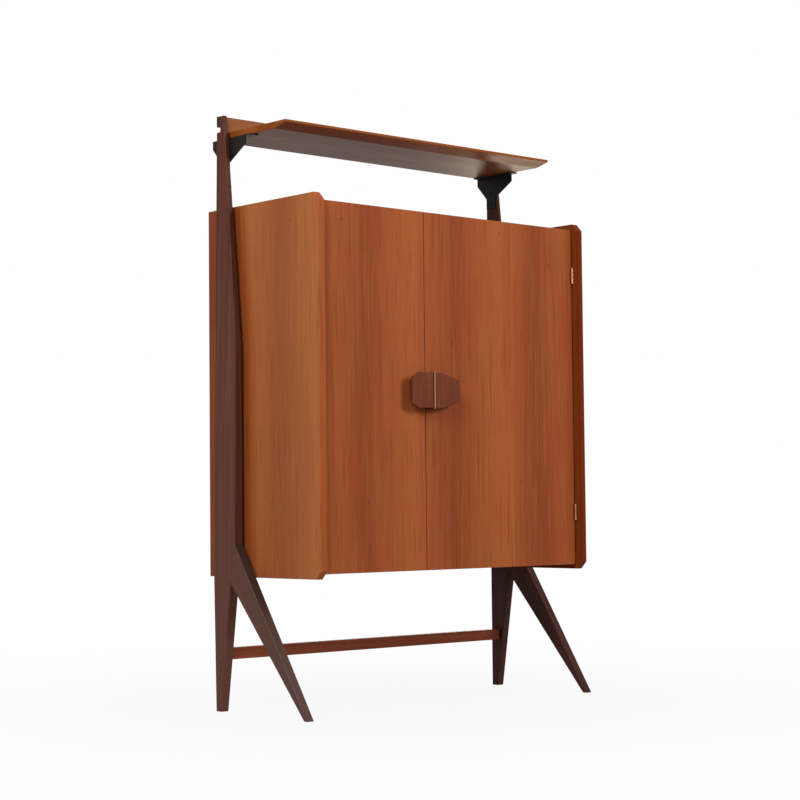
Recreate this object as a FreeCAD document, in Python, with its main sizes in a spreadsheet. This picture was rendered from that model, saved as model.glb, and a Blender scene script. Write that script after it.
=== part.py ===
"""Bar cabinet with a fold-out serving shelf, hung between two open hardwood frames.

Millimetres. The floor is Z = 0 and the front faces -Y. X = 0, Y = 0 is the middle of the whole cabinet,
from the face of the handle to the rear edges of the sides.
"""
import FreeCAD
import Part
import Sketcher
import os

doc = FreeCAD.newDocument("BarCabinet")
sheet = doc.addObject("Spreadsheet::Sheet", "Sizes")


class Length:
    """A length that knows its value in millimetres and the sheet formula behind it."""

    def __init__(self, value, formula):
        self.value = value
        self.formula = formula

    def joined(self, sign, other, value):
        return Length(value, "(" + self.formula + " " + sign + " " + other.formula + ")")

    def __add__(self, other):
        other = length(other)
        return self.joined("+", other, self.value + other.value)

    def __sub__(self, other):
        other = length(other)
        return self.joined("-", other, self.value - other.value)

    def __mul__(self, other):
        other = length(other)
        return self.joined("*", other, self.value * other.value)

    def __truediv__(self, other):
        other = length(other)
        return self.joined("/", other, self.value / other.value)

    def __radd__(self, other):
        return length(other) + self

    def __rsub__(self, other):
        return length(other) - self

    def __rmul__(self, other):
        return length(other) * self

    def __neg__(self):
        return self * -1


def length(number):
    """Gives a plain number the same form as a named size."""
    if isinstance(number, Length):
        return number
    return Length(float(number), "(%r)" % float(number))


def size(alias, value):
    """Writes one driving dimension into the sheet and hands it back by name."""
    row = len(size.written) + 1
    size.written.append(alias)
    sheet.set("A%d" % row, alias)
    sheet.set("B%d" % row, str(value))
    sheet.setAlias("B%d" % row, alias)
    return Length(float(value), "Sizes." + alias)


size.written = []

# The teak box
box_width = size("box_width", 864)
box_depth = size("box_depth", 414)
box_height = size("box_height", 870)
box_lift = size("box_lift", 312)
board = size("board", 18)
corner_run = size("corner_run", 17)
corner_rise = size("corner_rise", 18)
back_board = size("back_board", 6)
back_inset = size("back_inset", 6)
soft_edge = size("soft_edge", 0.8)

# The doors, set between the sides and lapped over the front edges of top and bottom
door_recess = size("door_recess", 19)
door_board = size("door_board", 18)
door_top_drop = size("door_top_drop", 15)
door_bottom_rise = size("door_bottom_rise", 11)
door_clearance = size("door_clearance", 1)
joint_offset = size("joint_offset", 95)
joint_gap = size("joint_gap", 2)

# The loose shelves and the battens under their ends
shelf_board = size("shelf_board", 16)
shelf_side_gap = size("shelf_side_gap", 0.5)
left_low_rise = size("left_low_rise", 256)
left_high_drop = size("left_high_drop", 264)
right_low_rise = size("right_low_rise", 348)
right_high_drop = size("right_high_drop", 120)
left_shelf_setback = size("left_shelf_setback", 16)
right_shelf_setback = size("right_shelf_setback", 38)
shelf_back_gap = size("shelf_back_gap", 2)
batten_thick = size("batten_thick", 12)
batten_height = size("batten_height", 18)
batten_setback = size("batten_setback", 24)

# The frames beside the box
frame_gap = size("frame_gap", 9)
frame_setback = size("frame_setback", 61.5)
frame_thick = size("frame_thick", 26)
frame_top_thick = size("frame_top_thick", 11)
frame_foot_thick = size("frame_foot_thick", 21)
upright_depth = size("upright_depth", 79)
upright_top_depth = size("upright_top_depth", 28)
waist_rise = size("waist_rise", 543)
knee_rise = size("knee_rise", 78)
crotch_drop = size("crotch_drop", 14)
crotch_depth = size("crotch_depth", 64)
rear_foot_depth = size("rear_foot_depth", 21)
front_foot_reach = size("front_foot_reach", 335.5)
front_foot_depth = size("front_foot_depth", 12)
frame_soft_edge = size("frame_soft_edge", 1.6)
loose_tenon_thick = size("loose_tenon_thick", 8)
loose_tenon_half = size("loose_tenon_half", 16)
loose_tenon_margin = size("loose_tenon_margin", 28)

# Sleeves and bolts between box and frames
sleeve_radius = size("sleeve_radius", 10)
bolt_radius = size("bolt_radius", 3)
bolt_head_radius = size("bolt_head_radius", 8)
bolt_head = size("bolt_head", 4)
bolt_bite = size("bolt_bite", 9)
bolt_setback = size("bolt_setback", 32)
bolt_low = size("bolt_low", 118)
bolt_high = size("bolt_high", 60)

# The stretcher between the rear legs
stretcher_bottom = size("stretcher_bottom", 120.5)
stretcher_height = size("stretcher_height", 27)
stretcher_depth = size("stretcher_depth", 20)
stretcher_setback = size("stretcher_setback", 10)
tenon_length = size("tenon_length", 12)
tenon_shoulder = size("tenon_shoulder", 4)

# The shelf above the box, its rail and its two steel brackets
shelf_space = size("shelf_space", 164)
top_shelf_board = size("top_shelf_board", 16)
top_shelf_reach = size("top_shelf_reach", 237)
top_shelf_overhang = size("top_shelf_overhang", 22)
top_shelf_end_gap = size("top_shelf_end_gap", 8)
bevel_run = size("bevel_run", 42)
front_edge = size("front_edge", 6)
rail_height = size("rail_height", 38)
rail_thick = size("rail_thick", 13.5)
rail_tongue = size("rail_tongue", 25)
steel = size("steel", 3)
flange_width = size("flange_width", 24)
flange_reach = size("flange_reach", 117)
plate_reach = size("plate_reach", 97)
plate_tail = size("plate_tail", 30)
plate_side = size("plate_side", 20)
plate_neck = size("plate_neck", 38)
plate_leg = size("plate_leg", 26)
plate_leg_inset = size("plate_leg_inset", 4)
plate_leg_width = size("plate_leg_width", 30)

# The split handle
handle_rise = size("handle_rise", 420.5)
handle_half = size("handle_half", 41.5)
handle_left_end_half = size("handle_left_end_half", 32)
handle_right_end_half = size("handle_right_end_half", 26)
handle_left = size("handle_left", 66)
handle_right = size("handle_right", 82)
handle_left_cut = size("handle_left_cut", 18)
handle_right_cut = size("handle_right_cut", 58)
handle_depth = size("handle_depth", 30)
handle_undercut = size("handle_undercut", 17)
handle_lip = size("handle_lip", 2)
strip_thick = size("strip_thick", 3.5)
strip_lap = size("strip_lap", 2)

# Butt hinges of the doors
hinge_length = size("hinge_length", 40)
hinge_top_drop = size("hinge_top_drop", 117)
hinge_bottom_rise = size("hinge_bottom_rise", 131)
hinge_leaf = size("hinge_leaf", 1.2)
hinge_leaf_width = size("hinge_leaf_width", 16)
hinge_radius = size("hinge_radius", 3.5)
hinge_air = size("hinge_air", 0.5)
leaf_clearance = size("leaf_clearance", 0.2)
hinge_pin_radius = size("hinge_pin_radius", 1.5)
hinge_running_gap = size("hinge_running_gap", 0.05)
hinge_end_gap = size("hinge_end_gap", 0.3)
hinge_clearance = size("hinge_clearance", 0.4)

# Magnetic catches
catch_width = size("catch_width", 40)
catch_depth = size("catch_depth", 20)
catch_height = size("catch_height", 14)
catch_offset = size("catch_offset", 10)
strike_thick = size("strike_thick", 1.2)
strike_margin = size("strike_margin", 4)
catch_gap = size("catch_gap", 0.4)

# The fold-out shelf on the inside of the wide door
flap_drop = size("flap_drop", 157.5)
flap_length = size("flap_length", 230)
flap_left_gap = size("flap_left_gap", 36)
flap_right_gap = size("flap_right_gap", 37.4)
flap_board = size("flap_board", 16)
flap_foot_gap = size("flap_foot_gap", 0.5)
ledge_depth = size("ledge_depth", 20)
ledge_height = size("ledge_height", 40)
flap_hinge_inset = size("flap_hinge_inset", 50)
flap_hinge_length = size("flap_hinge_length", 50)
flap_hinge_radius = size("flap_hinge_radius", 3)
flap_leaf = size("flap_leaf", 1.4)
flap_leaf_width = size("flap_leaf_width", 18)
flap_catch_gap = size("flap_catch_gap", 1.5)
flap_catch_width = size("flap_catch_width", 46)
flap_catch_height = size("flap_catch_height", 12)

# The swinging arm that carries the shelf when it is down
arm_pivot = size("arm_pivot", 108)
arm_length = size("arm_length", 180)
arm_straight = size("arm_straight", 63)
arm_door_gap = size("arm_door_gap", 1)
arm_top_gap = size("arm_top_gap", 0.5)
arm_tip_height = size("arm_tip_height", 22)
arm_tip_gap = size("arm_tip_gap", 1.5)
knuckle_ear = size("knuckle_ear", 12)
knuckle_gap = size("knuckle_gap", 0.3)
knuckle_shoulder = size("knuckle_shoulder", 0.6)
arm_pin_radius = size("arm_pin_radius", 3)

doc.recompute()


def bind(item, name, amount):
    """Ties one property of an object to a size or a formula of sizes."""
    item.setExpression(name, length(amount).formula)


def place(item, x, y, z):
    """Puts a piece where it stands in the cabinet."""
    bind(item, "Placement.Base.x", x)
    bind(item, "Placement.Base.y", y)
    bind(item, "Placement.Base.z", z)


def new_body(name, x=0, y=0, z=0):
    """Starts one wooden or metal piece at its place."""
    body = doc.addObject("PartDesign::Body", name)
    body.Label = name
    place(body, x, y, z)
    return body


def new_sketch(body, name, plane, shift=0):
    """Opens a sketch on one of the piece's own base planes, moved along the plane's normal."""
    sketch = body.newObject("Sketcher::SketchObject", body.Name + "_" + name)
    for feature in body.Origin.OriginFeatures:
        if feature.Role == plane:
            sketch.AttachmentSupport = (feature, [""])
    sketch.MapMode = "FlatFace"
    bind(sketch, "AttachmentOffset.Base.z", shift)
    return sketch


def fix_point(sketch, geometry, end, point):
    """Holds a corner or a centre at its two distances from the sketch's origin."""
    for kind, amount in (("DistanceX", point[0]), ("DistanceY", point[1])):
        amount = length(amount)
        index = sketch.addConstraint(Sketcher.Constraint(kind, -1, 1, geometry, end, amount.value))
        sketch.setExpression("Constraints[%d]" % index, amount.formula)


def draw_outline(sketch, points):
    """Draws a closed outline of straight edges through the given corners."""
    first = sketch.GeometryCount
    count = len(points)
    corners = [FreeCAD.Vector(length(x).value, length(y).value, 0) for x, y in points]
    for number in range(count):
        edge = Part.LineSegment(corners[number], corners[(number + 1) % count])
        sketch.addGeometry(edge, False)
    for number in range(count):
        following = first + (number + 1) % count
        sketch.addConstraint(Sketcher.Constraint("Coincident", first + number, 2, following, 1))
    for number in range(count):
        fix_point(sketch, first + number, 1, points[number])


def draw_box(sketch, left, low, right, high):
    """Draws an upright rectangle from its two opposite corners."""
    draw_outline(sketch, [(left, low), (right, low), (right, high), (left, high)])


def draw_circle(sketch, centre, radius):
    """Draws a circle of a named radius."""
    radius = length(radius)
    middle = FreeCAD.Vector(length(centre[0]).value, length(centre[1]).value, 0)
    circle = Part.Circle(middle, FreeCAD.Vector(0, 0, 1), radius.value)
    geometry = sketch.addGeometry(circle, False)
    fix_point(sketch, geometry, 3, centre)
    index = sketch.addConstraint(Sketcher.Constraint("Radius", geometry, radius.value))
    sketch.setExpression("Constraints[%d]" % index, radius.formula)


def pad(body, sketch, amount, backwards=False):
    """Raises a sketch into a solid along its normal, or the other way."""
    feature = body.newObject("PartDesign::Pad", sketch.Name + "_pad")
    feature.Profile = sketch
    bind(feature, "Length", amount)
    feature.Reversed = backwards
    return feature


def cut(body, sketch, amount, along_normal=False):
    """Cuts a sketch out of a piece, against the sketch's normal unless told otherwise."""
    before = body.Tip
    feature = body.newObject("PartDesign::Pocket", sketch.Name + "_cut")
    feature.Profile = sketch
    bind(feature, "Length", amount)
    feature.Reversed = along_normal
    cut.made.append((before, feature))
    return feature


cut.made = []


def soften(body, feature, amount, keep_sharp=None):
    """Breaks the sharp edges of a feature, apart from those that meet another piece."""
    doc.recompute()
    names = []
    for number, edge in enumerate(feature.Shape.Edges, 1):
        if keep_sharp is None or not keep_sharp(edge):
            names.append("Edge%d" % number)
    chamfer = body.newObject("PartDesign::Chamfer", feature.Name + "_soft")
    chamfer.Base = (feature, names)
    bind(chamfer, "Size", amount)
    return chamfer


def plank(name, low, high, softness=soft_edge):
    """A plain board between two opposite corners, with broken edges."""
    body = new_body(name, low[0], low[1], low[2])
    sketch = new_sketch(body, "face", "XY_Plane")
    draw_box(sketch, 0, 0, high[0] - low[0], high[1] - low[1])
    feature = pad(body, sketch, high[2] - low[2])
    soften(body, feature, softness)
    return body


def block(name, low, high):
    """A sharp-edged box between two opposite corners, for small metal parts."""
    item = doc.addObject("Part::Box", name)
    bind(item, "Length", high[0] - low[0])
    bind(item, "Width", high[1] - low[1])
    bind(item, "Height", high[2] - low[2])
    place(item, low[0], low[1], low[2])
    return item


def rod(name, start, radius, reach, axis):
    """A round bar from its start point along one axis."""
    item = doc.addObject("Part::Cylinder", name)
    bind(item, "Radius", radius)
    bind(item, "Height", reach)
    turns = {
        "X": FreeCAD.Rotation(FreeCAD.Vector(0, 1, 0), 90),
        "Y": FreeCAD.Rotation(FreeCAD.Vector(1, 0, 0), -90),
        "Z": FreeCAD.Rotation(),
    }
    item.Placement = FreeCAD.Placement(FreeCAD.Vector(0, 0, 0), turns[axis])
    place(item, start[0], start[1], start[2])
    return item


def fuse(name, pieces):
    """Joins pieces of one casting or pressing into one solid."""
    item = doc.addObject("Part::MultiFuse", name)
    item.Shapes = pieces
    return item


def bored(name, piece, drill):
    """A piece with a round hole through it."""
    item = doc.addObject("Part::Cut", name)
    item.Base = piece
    item.Tool = drill
    return item


def group(name, pieces):
    """Like pieces of one kind, each a solid of its own, kept under one name."""
    item = doc.addObject("Part::Compound", name)
    item.Links = pieces
    item.Label = name
    return item


# Heights, depths and widths that several pieces share
half_width = box_width / 2
inner_half = half_width - board
handle_proud = handle_depth + strip_lap / 2 - door_recess
front = (handle_proud - box_depth) / 2
rear = front + box_depth
frame_rear = rear - frame_setback
box_top = box_lift + box_height
door_face = front + door_recess
door_back = door_face + door_board
door_low = box_lift + door_bottom_rise
door_high = box_top - door_top_drop
carcass_front = door_back + door_clearance
back_face = rear - back_inset - back_board
floor_top = door_low + board
ceiling = door_high - board
joint = -joint_offset
frame_inside = half_width + frame_gap
top_shelf_bottom = box_top + shelf_space
shelf_top = top_shelf_bottom + top_shelf_board
frame_height = shelf_top + rail_height
waist_height = box_lift + waist_rise
knee_height = box_lift + knee_rise
crotch_height = box_lift - crotch_drop

# Side panels: veneered boards with the two front corners cut off
bolt_heights = [box_lift + bolt_low, box_top - bolt_high]
bolt_depth = frame_rear - bolt_setback


def side_panel(side, sign):
    """One side of the box, drilled for the frame bolts."""
    body = new_body(side + "_side_panel", sign * inner_half, 0, 0)
    outline = new_sketch(body, "outline", "YZ_Plane")
    corners = [
        (front, box_lift + corner_rise),
        (front + corner_run, box_lift),
        (rear, box_lift),
        (rear, box_top),
        (front + corner_run, box_top),
        (front, box_top - corner_rise),
    ]
    draw_outline(outline, corners)
    raised = pad(body, outline, board, sign < 0)
    soften(body, raised, soft_edge)
    bolts = new_sketch(body, "bolt_holes", "YZ_Plane")
    for height in bolt_heights:
        draw_circle(bolts, (bolt_depth, height), bolt_radius)
    cut(body, bolts, board, sign > 0)
    return body


# Carcass: top and bottom between the sides, thin back, and a divider behind the joint of the doors
carcass = [
    side_panel("left", -1),
    side_panel("right", 1),
    plank("top_panel", (-inner_half, carcass_front, ceiling), (inner_half, back_face, door_high)),
    plank("bottom_panel", (-inner_half, carcass_front, door_low), (inner_half, back_face, floor_top)),
    plank("back_panel", (-inner_half, back_face, door_low), (inner_half, back_face + back_board, door_high)),
    plank("divider", (joint - board / 2, carcass_front, floor_top), (joint + board / 2, back_face, ceiling)),
]

# Loose shelves, each laid on two battens
compartments = {
    "left": (-inner_half, joint - board / 2),
    "right": (joint + board / 2, inner_half),
}
shelf_fronts = {"left": carcass_front + left_shelf_setback, "right": carcass_front + right_shelf_setback}
shelf_back = back_face - shelf_back_gap
shelf_places = [
    ("left_shelf_lower", "left", floor_top + left_low_rise),
    ("left_shelf_upper", "left", ceiling - left_high_drop - shelf_board),
    ("right_shelf_lower", "right", floor_top + right_low_rise),
    ("right_shelf_upper", "right", ceiling - right_high_drop - shelf_board),
]


def loose_shelf(name, side, height):
    """A shelf that lies on its battens between two uprights of the box."""
    walls = compartments[side]
    low = (walls[0] + shelf_side_gap, shelf_fronts[side], height)
    high = (walls[1] - shelf_side_gap, shelf_back, height + shelf_board)
    return plank(name, low, high)


def battens_under(name, side, height):
    """The two strips fixed to the uprights of the box under the ends of one shelf."""
    strips = []
    walls = compartments[side]
    near = shelf_fronts[side] + batten_setback
    for end, start in (("first", walls[0]), ("second", walls[1] - batten_thick)):
        low = (start, near, height - batten_height)
        high = (start + batten_thick, shelf_back, height)
        strips.append(plank("%s_%s_batten" % (name, end), low, high))
    return strips


shelves = []
battens = []
for shelf_name, shelf_side, shelf_height in shelf_places:
    shelves.append(loose_shelf(shelf_name, shelf_side, shelf_height))
    battens.extend(battens_under(shelf_name, shelf_side, shelf_height))
shelves.append(group("shelf_battens", battens))

# Frames: an upright that is also the rear leg, and a front leg held to it by a loose tenon.
# Depths run forward from the frame's straight rear edge.
knee = (-upright_depth, knee_height)
crotch = (-crotch_depth, crotch_height)
tenon_low = crotch_height + loose_tenon_margin
tenon_high = knee_height - loose_tenon_margin


def joint_depth(height):
    """Depth of the slanting joint between upright and front leg at one height."""
    share = (height - crotch_height) / (knee_height - crotch_height)
    return crotch_depth + (upright_depth - crotch_depth) * share


tenon_start = joint_depth((tenon_low + tenon_high) / 2) - loose_tenon_half


def thin_frame(body, sign):
    """Planes the outer face so that the piece thins towards its top and its foot."""
    planing = new_sketch(body, "planing", "XZ_Plane", -frame_soft_edge)
    outside = sign * (frame_thick + frame_soft_edge)
    corners = [
        (sign * frame_foot_thick, 0),
        (sign * frame_thick, box_lift),
        (sign * frame_top_thick, frame_height),
        (outside, frame_height),
        (outside, 0),
    ]
    draw_outline(planing, corners)
    return cut(body, planing, front_foot_reach + frame_soft_edge * 2, True)


def tenon_slot(body, sign):
    """The slot for the loose tenon, cut across the slanting joint."""
    slot = new_sketch(body, "tenon_slot", "XZ_Plane", tenon_start)
    middle = sign * frame_thick / 2
    half = loose_tenon_thick / 2
    draw_box(slot, middle - half, tenon_low, middle + half, tenon_high)
    cut(body, slot, loose_tenon_half * 2, True)


def stays_sharp(edge):
    """True for the edges along the slanting joint and for the ridge of the planed face."""
    heights = [vertex.Point.z for vertex in edge.Vertexes]
    if max(abs(height - box_lift.value) for height in heights) < soft_edge.value:
        return True
    for vertex in edge.Vertexes:
        height = vertex.Point.z
        if height < crotch_height.value - soft_edge.value or height > knee_height.value + soft_edge.value:
            return False
        if abs(-vertex.Point.y - joint_depth(height).value) > soft_edge.value:
            return False
    return True


def upright(side, sign):
    """Upright and rear leg in one piece, with a rebate for the rail at the top."""
    body = new_body(side + "_upright", sign * frame_inside, frame_rear, 0)
    outline = new_sketch(body, "outline", "YZ_Plane")
    corners = [
        (0, 0),
        (0, shelf_top),
        (-rail_thick, shelf_top),
        (-rail_thick, frame_height),
        (-upright_top_depth, frame_height),
        (-upright_depth, waist_height),
        knee,
        crotch,
        (-rear_foot_depth, 0),
    ]
    draw_outline(outline, corners)
    pad(body, outline, frame_thick, sign < 0)
    planed = thin_frame(body, sign)
    soften(body, planed, frame_soft_edge, stays_sharp)
    tenon_slot(body, sign)
    bolts = new_sketch(body, "bolt_holes", "YZ_Plane")
    for height in bolt_heights:
        draw_circle(bolts, (-bolt_setback, height), bolt_radius)
    cut(body, bolts, bolt_bite, sign > 0)
    mortise = new_sketch(body, "mortise", "YZ_Plane")
    low = stretcher_bottom + tenon_shoulder
    high = stretcher_bottom + stretcher_height - tenon_shoulder
    near = -stretcher_setback - tenon_shoulder
    far = -stretcher_setback - stretcher_depth + tenon_shoulder
    draw_box(mortise, far, low, near, high)
    cut(body, mortise, tenon_length, sign > 0)
    return body


def front_leg(side, sign):
    """The splayed leg, tapering from the knee to a narrow foot."""
    body = new_body(side + "_front_leg", sign * frame_inside, frame_rear, 0)
    outline = new_sketch(body, "outline", "YZ_Plane")
    corners = [
        knee,
        crotch,
        (-front_foot_reach + front_foot_depth, 0),
        (-front_foot_reach, 0),
    ]
    draw_outline(outline, corners)
    pad(body, outline, frame_thick, sign < 0)
    planed = thin_frame(body, sign)
    soften(body, planed, frame_soft_edge, stays_sharp)
    tenon_slot(body, sign)
    return body


def loose_tenons():
    """The loose tenons that hold the front legs to the uprights."""
    tenons = []
    near = frame_rear - tenon_start - loose_tenon_half * 2
    far = frame_rear - tenon_start
    half = loose_tenon_thick / 2
    for side, sign in (("left", -1), ("right", 1)):
        middle = sign * (frame_inside + frame_thick / 2)
        low = (middle - half, near, tenon_low)
        tenons.append(block("loose_tenon_" + side, low, (middle + half, far, tenon_high)))
    return tenons


def stretcher_rail():
    """The rail between the rear legs, with a tenon at each end."""
    body = new_body("stretcher", 0, frame_rear - stretcher_setback - stretcher_depth, stretcher_bottom)
    section = new_sketch(body, "section", "YZ_Plane", -frame_inside)
    draw_box(section, 0, 0, stretcher_depth, stretcher_height)
    raised = pad(body, section, frame_inside * 2)
    soften(body, raised, soft_edge)
    tenons = new_sketch(body, "tenons", "YZ_Plane", -frame_inside - tenon_length)
    inner = tenon_shoulder
    draw_box(tenons, inner, inner, stretcher_depth - inner, stretcher_height - inner)
    pad(body, tenons, (frame_inside + tenon_length) * 2)
    return body


def hexagon(name, start, radius, reach):
    """A six-sided bolt head from its start point along X."""
    item = doc.addObject("Part::Prism", name)
    item.Polygon = 6
    bind(item, "Circumradius", radius)
    bind(item, "Height", reach)
    across = FreeCAD.Rotation(FreeCAD.Vector(0, 1, 0), 90)
    item.Placement = FreeCAD.Placement(FreeCAD.Vector(0, 0, 0), across)
    place(item, start[0], start[1], start[2])
    return item


def spacer_parts():
    """Sleeves between box and frames, and the bolts that run through them."""
    sleeves = []
    bolts = []
    for side, sign in (("left", -1), ("right", 1)):
        for number, height in enumerate(bolt_heights):
            tag = "%s_%d" % (side, number)
            head_start = inner_half - bolt_head if sign > 0 else -inner_half
            shank_start = inner_half if sign > 0 else -frame_inside - bolt_bite
            sleeve_start = half_width if sign > 0 else -frame_inside
            tube = rod("tube_" + tag, (sleeve_start, bolt_depth, height), sleeve_radius, frame_gap, "X")
            drill = rod("drill_" + tag, (sleeve_start, bolt_depth, height), bolt_radius, frame_gap, "X")
            sleeves.append(bored("sleeve_" + tag, tube, drill))
            head = hexagon("head_" + tag, (head_start, bolt_depth, height), bolt_head_radius, bolt_head)
            reach = board + frame_gap + bolt_bite
            shank = rod("shank_" + tag, (shank_start, bolt_depth, height), bolt_radius, reach, "X")
            bolts.append(fuse("bolt_" + tag, [head, shank]))
    return [group("frame_spacers", sleeves), group("frame_bolts", bolts)]


frames = [
    upright("left", -1),
    upright("right", 1),
    front_leg("left", -1),
    front_leg("right", 1),
    group("leg_tenons", loose_tenons()),
    stretcher_rail(),
] + spacer_parts()


# Shelf above the box: a thin board with a wide bevel under its front edge
def shelf_above():
    """The fixed shelf, drawn in section and raised along its length."""
    half = frame_inside - top_shelf_end_gap
    body = new_body("top_shelf", 0, frame_rear, top_shelf_bottom)
    section = new_sketch(body, "section", "YZ_Plane", -half)
    corners = [
        (-top_shelf_reach, top_shelf_board),
        (-top_shelf_reach, top_shelf_board - front_edge),
        (-top_shelf_reach + bevel_run, 0),
        (top_shelf_overhang, 0),
        (top_shelf_overhang, top_shelf_board),
    ]
    draw_outline(section, corners)
    raised = pad(body, section, half * 2)
    soften(body, raised, soft_edge)
    return body


def rail_above():
    """The low rail behind the shelf; its tongues lie in the rebates of the uprights."""
    body = new_body("shelf_rail", 0, frame_rear, shelf_top)
    face = new_sketch(body, "face", "XZ_Plane")
    height = frame_height - shelf_top
    reach = frame_inside + frame_top_thick
    corners = [
        (-frame_inside, 0),
        (frame_inside, 0),
        (frame_inside, height - rail_tongue),
        (reach, height - rail_tongue),
        (reach, height),
        (-reach, height),
        (-reach, height - rail_tongue),
        (-frame_inside, height - rail_tongue),
    ]
    draw_outline(face, corners)
    raised = pad(body, face, rail_thick)
    soften(body, raised, soft_edge)
    return body


def bracket(side, sign):
    """A steel plate on the upright's inner face, with a flange folded under the shelf."""
    body = new_body(side + "_bracket", sign * frame_inside, frame_rear, top_shelf_bottom)
    plate = new_sketch(body, "plate", "YZ_Plane")
    leg_rear = -plate_leg_inset
    leg_front = leg_rear - plate_leg_width
    neck = -plate_side - plate_neck
    corners = [
        (-plate_reach, 0),
        (-plate_reach, -plate_side),
        (leg_front, neck),
        (leg_front, neck - plate_leg),
        (leg_rear, neck - plate_leg),
        (leg_rear, neck),
        (plate_tail, -plate_side),
        (plate_tail, 0),
    ]
    draw_outline(plate, corners)
    pad(body, plate, steel, sign > 0)
    flange = new_sketch(body, "flange", "XY_Plane", -steel)
    if sign > 0:
        draw_box(flange, -flange_width, -flange_reach, 0, top_shelf_overhang)
    else:
        draw_box(flange, 0, -flange_reach, flange_width, top_shelf_overhang)
    pad(body, flange, steel)
    return body


upper = [shelf_above(), rail_above(), bracket("left", -1), bracket("right", 1)]

# Hinges of the doors: a fixed leaf, a moving leaf and a loose pin, with three knuckles each
hinge_heights = [door_low + hinge_bottom_rise - hinge_length / 2, door_high - hinge_top_drop - hinge_length / 2]
knuckle = (hinge_length - hinge_end_gap * 2) / 3
hinge_stand_off = hinge_radius + hinge_air
hinge_across = inner_half - hinge_stand_off
hinge_along = door_face - hinge_stand_off
leaf_start = hinge_along + hinge_radius + hinge_clearance
leaf_end = leaf_start + hinge_leaf_width
door_edge = inner_half - hinge_leaf * 2 - leaf_clearance


def span(sign, near, far):
    """Two distances from the middle as a low and a high X on one side of the cabinet."""
    if sign > 0:
        return near, far
    return -far, -near


def door_hinge(side, sign, number, low):
    """One butt hinge: returns the fixed leaf, the moving leaf and the pin."""
    tag = "%s_%d" % (side, number)
    axis_x = sign * hinge_across
    middle_low = low + knuckle + hinge_end_gap
    upper_low = low + (knuckle + hinge_end_gap) * 2
    high = low + hinge_length
    fixed = []
    near, far = span(sign, inner_half - hinge_leaf, inner_half)
    fixed.append(block("fixed_leaf_" + tag, (near, leaf_start, low), (far, leaf_end, high)))
    for step, start in enumerate((low, upper_low)):
        ring = rod("fixed_ring_%s_%d" % (tag, step), (axis_x, hinge_along, start), hinge_radius, knuckle, "Z")
        web_high = (far, leaf_start, start + knuckle)
        web = block("fixed_web_%s_%d" % (tag, step), (near, hinge_along, start), web_high)
        fixed.extend([ring, web])
    drill = rod("fixed_drill_" + tag, (axis_x, hinge_along, low), hinge_pin_radius, hinge_length, "Z")
    fixed_leaf = bored("fixed_hinge_" + tag, fuse("fixed_body_" + tag, fixed), drill)
    moving = []
    near, far = span(sign, door_edge, door_edge + hinge_leaf)
    moving.append(block("moving_leaf_" + tag, (near, leaf_start, low), (far, leaf_end, high)))
    moving.append(rod("moving_ring_" + tag, (axis_x, hinge_along, middle_low), hinge_radius, knuckle, "Z"))
    web_high = (far, leaf_start, middle_low + knuckle)
    moving.append(block("moving_web_" + tag, (near, hinge_along, middle_low), web_high))
    running = hinge_pin_radius + hinge_running_gap
    drill = rod("moving_drill_" + tag, (axis_x, hinge_along, low), running, hinge_length, "Z")
    moving_leaf = bored("moving_hinge_" + tag, fuse("moving_body_" + tag, moving), drill)
    pin = rod("hinge_pin_" + tag, (axis_x, hinge_along, low), hinge_pin_radius, hinge_length, "Z")
    return fixed_leaf, moving_leaf, pin


def hinges_of(side, sign):
    """Both hinges of one door, sorted into fixed leaves, moving leaves and pins."""
    made = [door_hinge(side, sign, number, low) for number, low in enumerate(hinge_heights)]
    return [hinge[0] for hinge in made], [hinge[1] for hinge in made], [hinge[2] for hinge in made]


left_fixed, left_moving, left_pins = hinges_of("left", -1)
right_fixed, right_moving, right_pins = hinges_of("right", 1)
hinge_nodes = [
    group("left_hinge_frame_leaves", left_fixed),
    group("right_hinge_frame_leaves", right_fixed),
    group("hinge_pins", left_pins + right_pins),
    group("left_hinge_door_leaves", left_moving),
    group("right_hinge_door_leaves", right_moving),
]

# Doors and their magnetic catches
left_joint_edge = joint - joint_gap / 2
right_joint_edge = joint + joint_gap / 2
catch_face = door_back + strike_thick + catch_gap
left_catch = joint - board / 2 - catch_offset - catch_width
right_catch = joint + board / 2 + catch_offset


def catch_body(name, start):
    """A magnet housing screwed under the top panel."""
    low = (start, catch_face, ceiling - catch_height)
    return block(name, low, (start + catch_width, catch_face + catch_depth, ceiling))


def strike(name, start):
    """The thin steel plate on a door that the magnet holds."""
    low = (start + strike_margin, door_back, ceiling - catch_height)
    high = (start + catch_width - strike_margin, door_back + strike_thick, ceiling - strike_margin / 2)
    item = block(name, low, high)
    item.Label = name
    return item


doors = [
    plank("left_door", (-door_edge, door_face, door_low), (left_joint_edge, door_back, door_high)),
    plank("right_door", (right_joint_edge, door_face, door_low), (door_edge, door_back, door_high)),
    group("door_catches", [catch_body("catch_left", left_catch), catch_body("catch_right", right_catch)]),
    strike("left_door_strike", left_catch),
    strike("right_door_strike", right_catch),
]


# Handle: a long octagon in two halves, undercut all round so that fingers reach behind it
handle_height = door_low + handle_rise


def off_the_face(edge):
    """True for the edges of a handle half that do not bound its front face."""
    return max(vertex.Point.y for vertex in edge.Vertexes) > soft_edge.value - handle_depth.value


def off_the_foot(edge):
    """True for all edges of a handle half but the outer ones that lie against the door."""
    across = max(abs(vertex.Point.x) for vertex in edge.Vertexes)
    deep = min(vertex.Point.y for vertex in edge.Vertexes)
    return across < soft_edge.value or deep < -soft_edge.value


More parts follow.
